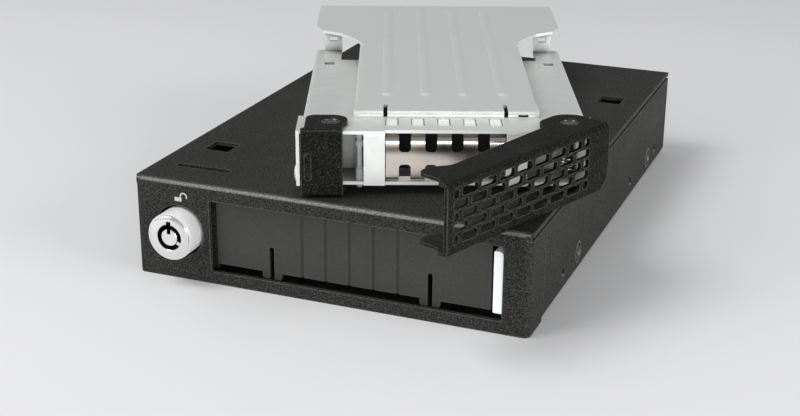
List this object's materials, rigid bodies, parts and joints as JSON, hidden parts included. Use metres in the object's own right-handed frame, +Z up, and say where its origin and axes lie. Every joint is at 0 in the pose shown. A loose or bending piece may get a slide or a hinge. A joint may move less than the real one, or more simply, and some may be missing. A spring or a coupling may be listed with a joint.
{
  "type": "hot swap drive cage",
  "caption": "Black steel hot swap drive cage with a keyed lock and an inward door flap, its metal drive tray lying upside down on top with the vented handle open.",
  "frame": {"origin": "middle of the cage's underside, halfway along its depth", "axes": "+X to the right seen from the front, +Y to the rear, +Z up"},
  "size_m": [0.111, 0.1641, 0.0434],
  "materials": {
    "black_steel": "fine textured black powder coat",
    "black_coat": "textured black coat on the handle and the latch",
    "tray_steel": "satin galvanised sheet",
    "nickel": "bright nickel plated spring sheet",
    "chrome": "polished",
    "steel": "plain turned steel",
    "black_screw": "black oxide",
    "guide_plastic": "moulded",
    "connector_plastic": "moulded",
    "white_light_guide": "milky translucent",
    "clear_plastic": "clear moulded rod",
    "board_green": "solder mask"
  },
  "bodies": {
    "cage": {"cover": "black_steel", "base_pan": "black_steel", "lock_bracket": "black_steel", "lock_body": "chrome", "lock_nut": "steel", "door_pin": "steel", "door_spring": "steel", "left_guide_rail": "guide_plastic", "right_guide_rail": "guide_plastic", "light_guide": "white_light_guide", "status_led": "white_light_guide", "backplane_board": "board_green", "drive_socket": "connector_plastic", "data_port": "connector_plastic", "power_port": "connector_plastic", "case_screws": "black_screw", "board_screws": "steel", "rail_screws": "black_screw", "tray_frame": "tray_steel", "vent_plate": "nickel", "tray_light_pipe": "clear_plastic", "handle_pivot_pin": "black_screw", "latch_pivot_pin": "black_screw", "handle_spring": "steel", "latch_spring": "steel"},
    "door": {"door_flap": "black_steel"},
    "lock_rotor": {"lock_plug": "chrome", "lock_cam": "steel", "cam_screw": "steel"},
    "handle": {"tray_handle": "black_coat"},
    "latch": {"release_latch": "black_coat"}
  },
  "joints": [
    {"name": "door_swing", "type": "hinge", "parent": "cage", "child": "door", "pos_m": [0, -0.06815, 0.0229], "axis": [1, 0, 0], "range_deg": [0, 90], "stiffness_Nm_per_rad": 0.0006, "springref_deg": -28.65},
    {"name": "lock_turn", "type": "hinge", "parent": "cage", "child": "lock_rotor", "pos_m": [-0.0388, -0.07175, 0.0127], "axis": [0, 1, 0], "range_deg": [0, 90]},
    {"name": "handle_swing", "type": "hinge", "parent": "cage", "child": "handle", "pos_m": [0.04961, -0.04016, 0.0254], "axis": [0, 0, 1], "range_deg": [-47.5, 32.5]},
    {"name": "latch_press", "type": "hinge", "parent": "cage", "child": "latch", "pos_m": [-0.00276, -0.06111, 0.0254], "axis": [0, 0, 1], "range_deg": [-5, 0], "stiffness_Nm_per_rad": 0.02, "springref_deg": 5.73}
  ]
}
